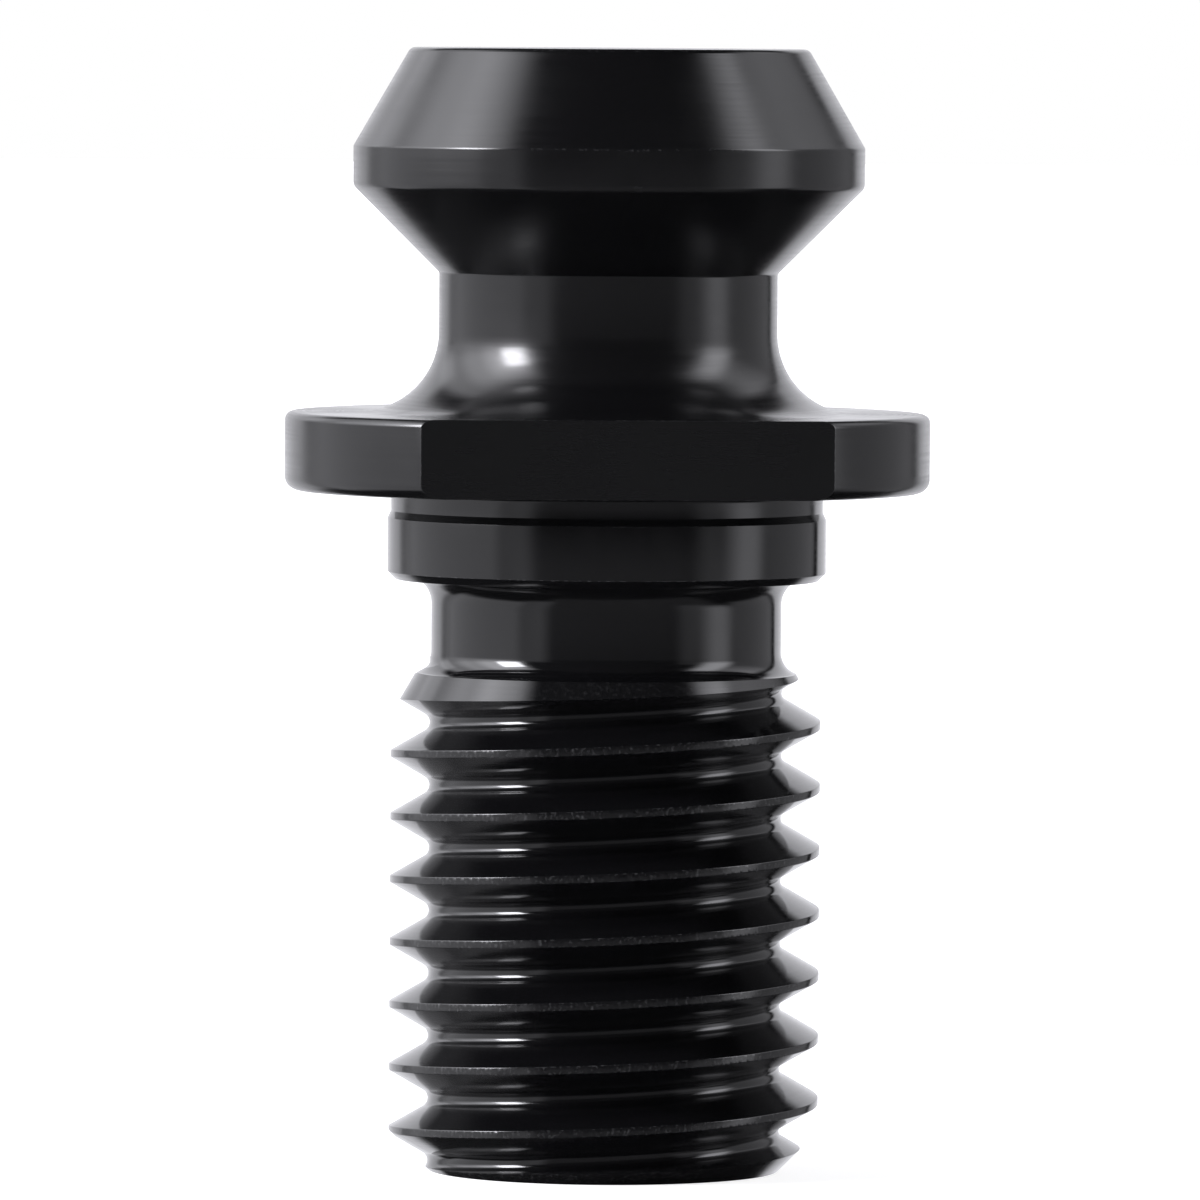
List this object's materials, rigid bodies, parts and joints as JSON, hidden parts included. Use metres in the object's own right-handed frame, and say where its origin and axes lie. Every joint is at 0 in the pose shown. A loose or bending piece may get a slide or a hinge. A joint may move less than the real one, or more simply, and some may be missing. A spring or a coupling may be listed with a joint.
{
  "type": "pull stud",
  "caption": "Turned steel retention knob: a conical gripping head and neck above a flange with two wrench flats, a locating pilot and a threaded shank for the back of a tool holder.",
  "frame": {"origin": "centre of the flat end of the thread, on which the stud stands", "axes": "+Z along the stud's axis towards the knob; the two wrench flats face +Y and -Y"},
  "size_m": [0.0238, 0.0188, 0.0413],
  "materials": {
    "black_oxide_steel": "ground and polished alloy steel with a glossy black oxide finish"
  },
  "bodies": {
    "root": {"pull_stud": "black_oxide_steel"}
  },
  "joints": []
}
